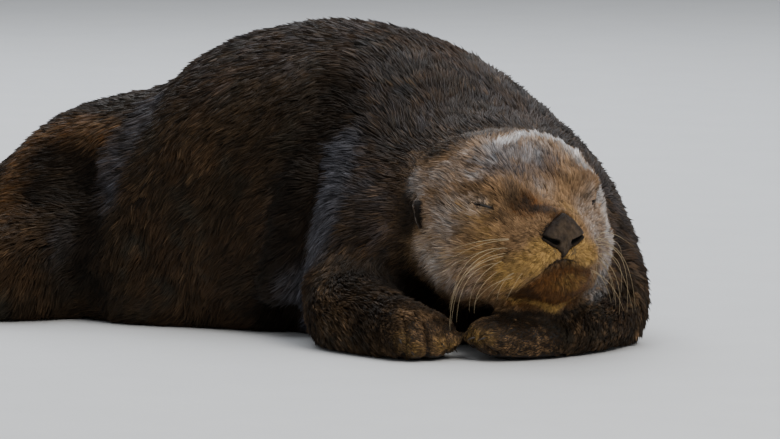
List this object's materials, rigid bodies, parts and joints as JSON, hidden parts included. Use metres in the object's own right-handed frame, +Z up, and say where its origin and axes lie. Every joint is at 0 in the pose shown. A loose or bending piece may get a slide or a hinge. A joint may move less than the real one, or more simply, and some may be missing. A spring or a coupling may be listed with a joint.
{
  "type": "sea otter",
  "caption": "Still life-size sea otter lying on its belly, body curled to its right, chin lowered over folded forepaws, eyes and mouth closed.",
  "frame": {"origin": "on the floor, under the middle of the model's box", "axes": "+X from the tail towards the head, +Y to the far side of the back, +Z up; the floor is Z = 0"},
  "size_m": [0.9586, 0.4382, 0.274],
  "materials": {
    "body_fur": "dense dark brown coat, soft sheen on the guard hairs",
    "head_fur": "short pale buff and cream coat",
    "paw_fur": "very short brown coat",
    "nose_skin": "bare grained skin, slightly moist",
    "eye": "dark and wet",
    "claw": "dark horn",
    "whisker": "stiff straw-coloured bristle"
  },
  "bodies": {
    "root": {"head": "head_fur", "ear_right": "paw_fur", "ear_left": "paw_fur", "eye_right": "eye", "eye_left": "eye", "nose": "nose_skin", "neck": "body_fur", "trunk_front": "body_fur", "trunk_middle": "body_fur", "trunk_rear": "body_fur", "tail": "body_fur", "foreleg_right": "body_fur", "foreleg_left": "body_fur", "forepaw_right": "paw_fur", "forepaw_left": "paw_fur", "hindleg_right": "body_fur", "hindleg_left": "body_fur", "hindfoot_right": "paw_fur", "hindfoot_left": "paw_fur"}
  },
  "joints": []
}
